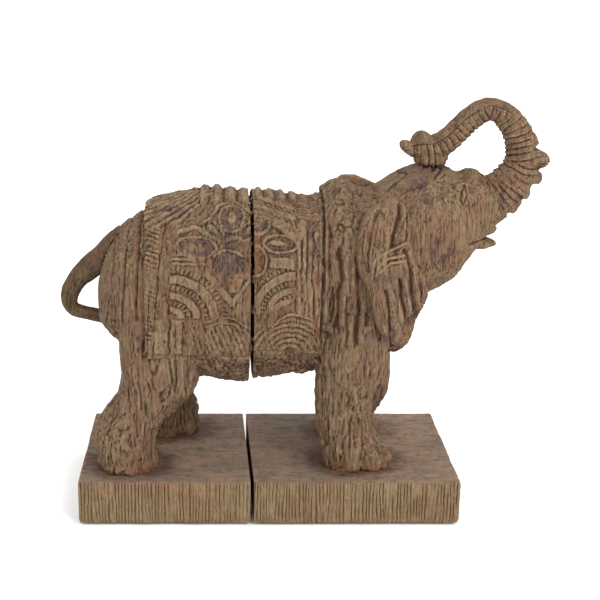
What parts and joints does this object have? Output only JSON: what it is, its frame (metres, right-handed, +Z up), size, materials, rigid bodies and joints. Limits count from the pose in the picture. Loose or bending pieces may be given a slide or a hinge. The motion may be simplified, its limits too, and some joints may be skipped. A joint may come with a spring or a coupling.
{
  "type": "elephant bookend pair",
  "caption": "Carved wooden elephant cut across the middle into bookends, each half on a fluted rectangular plinth, trunk raised and curled back.",
  "frame": {"origin": "on the shelf, under the middle of the closed pair's bounding box", "axes": "+X from the tail towards the head, +Y towards the elephant's left side, +Z up"},
  "size_m": [0.2885, 0.114, 0.243],
  "materials": {
    "carved_wood": "carved, dark wash rubbed into the hollows, pale olive tan on the ridges",
    "plinth_wood": "planed top, sides scored with upright flutes",
    "dowel_wood": "plain beech",
    "felt": "pressed felt",
    "screw_steel": "zinc plated"
  },
  "bodies": {
    "rear_bookend": {"rear_felt_pad": "felt", "rear_plinth": "plinth_wood", "right_hind_screw": "screw_steel", "left_hind_screw": "screw_steel", "hindquarters": "carved_wood", "tail_peg": "dowel_wood", "tail": "carved_wood"},
    "front_bookend": {"front_felt_pad": "felt", "front_plinth": "plinth_wood", "right_fore_screw": "screw_steel", "left_fore_screw": "screw_steel", "forequarters": "carved_wood", "neck_dowel": "dowel_wood", "head": "carved_wood", "trunk_dowel": "dowel_wood", "trunk": "carved_wood", "right_ear_peg": "dowel_wood", "right_ear": "carved_wood", "left_ear_peg": "dowel_wood", "left_ear": "carved_wood"}
  },
  "joints": [
    {"name": "front_half_slide", "type": "slide", "parent": "rear_bookend", "child": "front_bookend", "axis": [1, 0, 0], "range_m": [0, 0.3]}
  ]
}
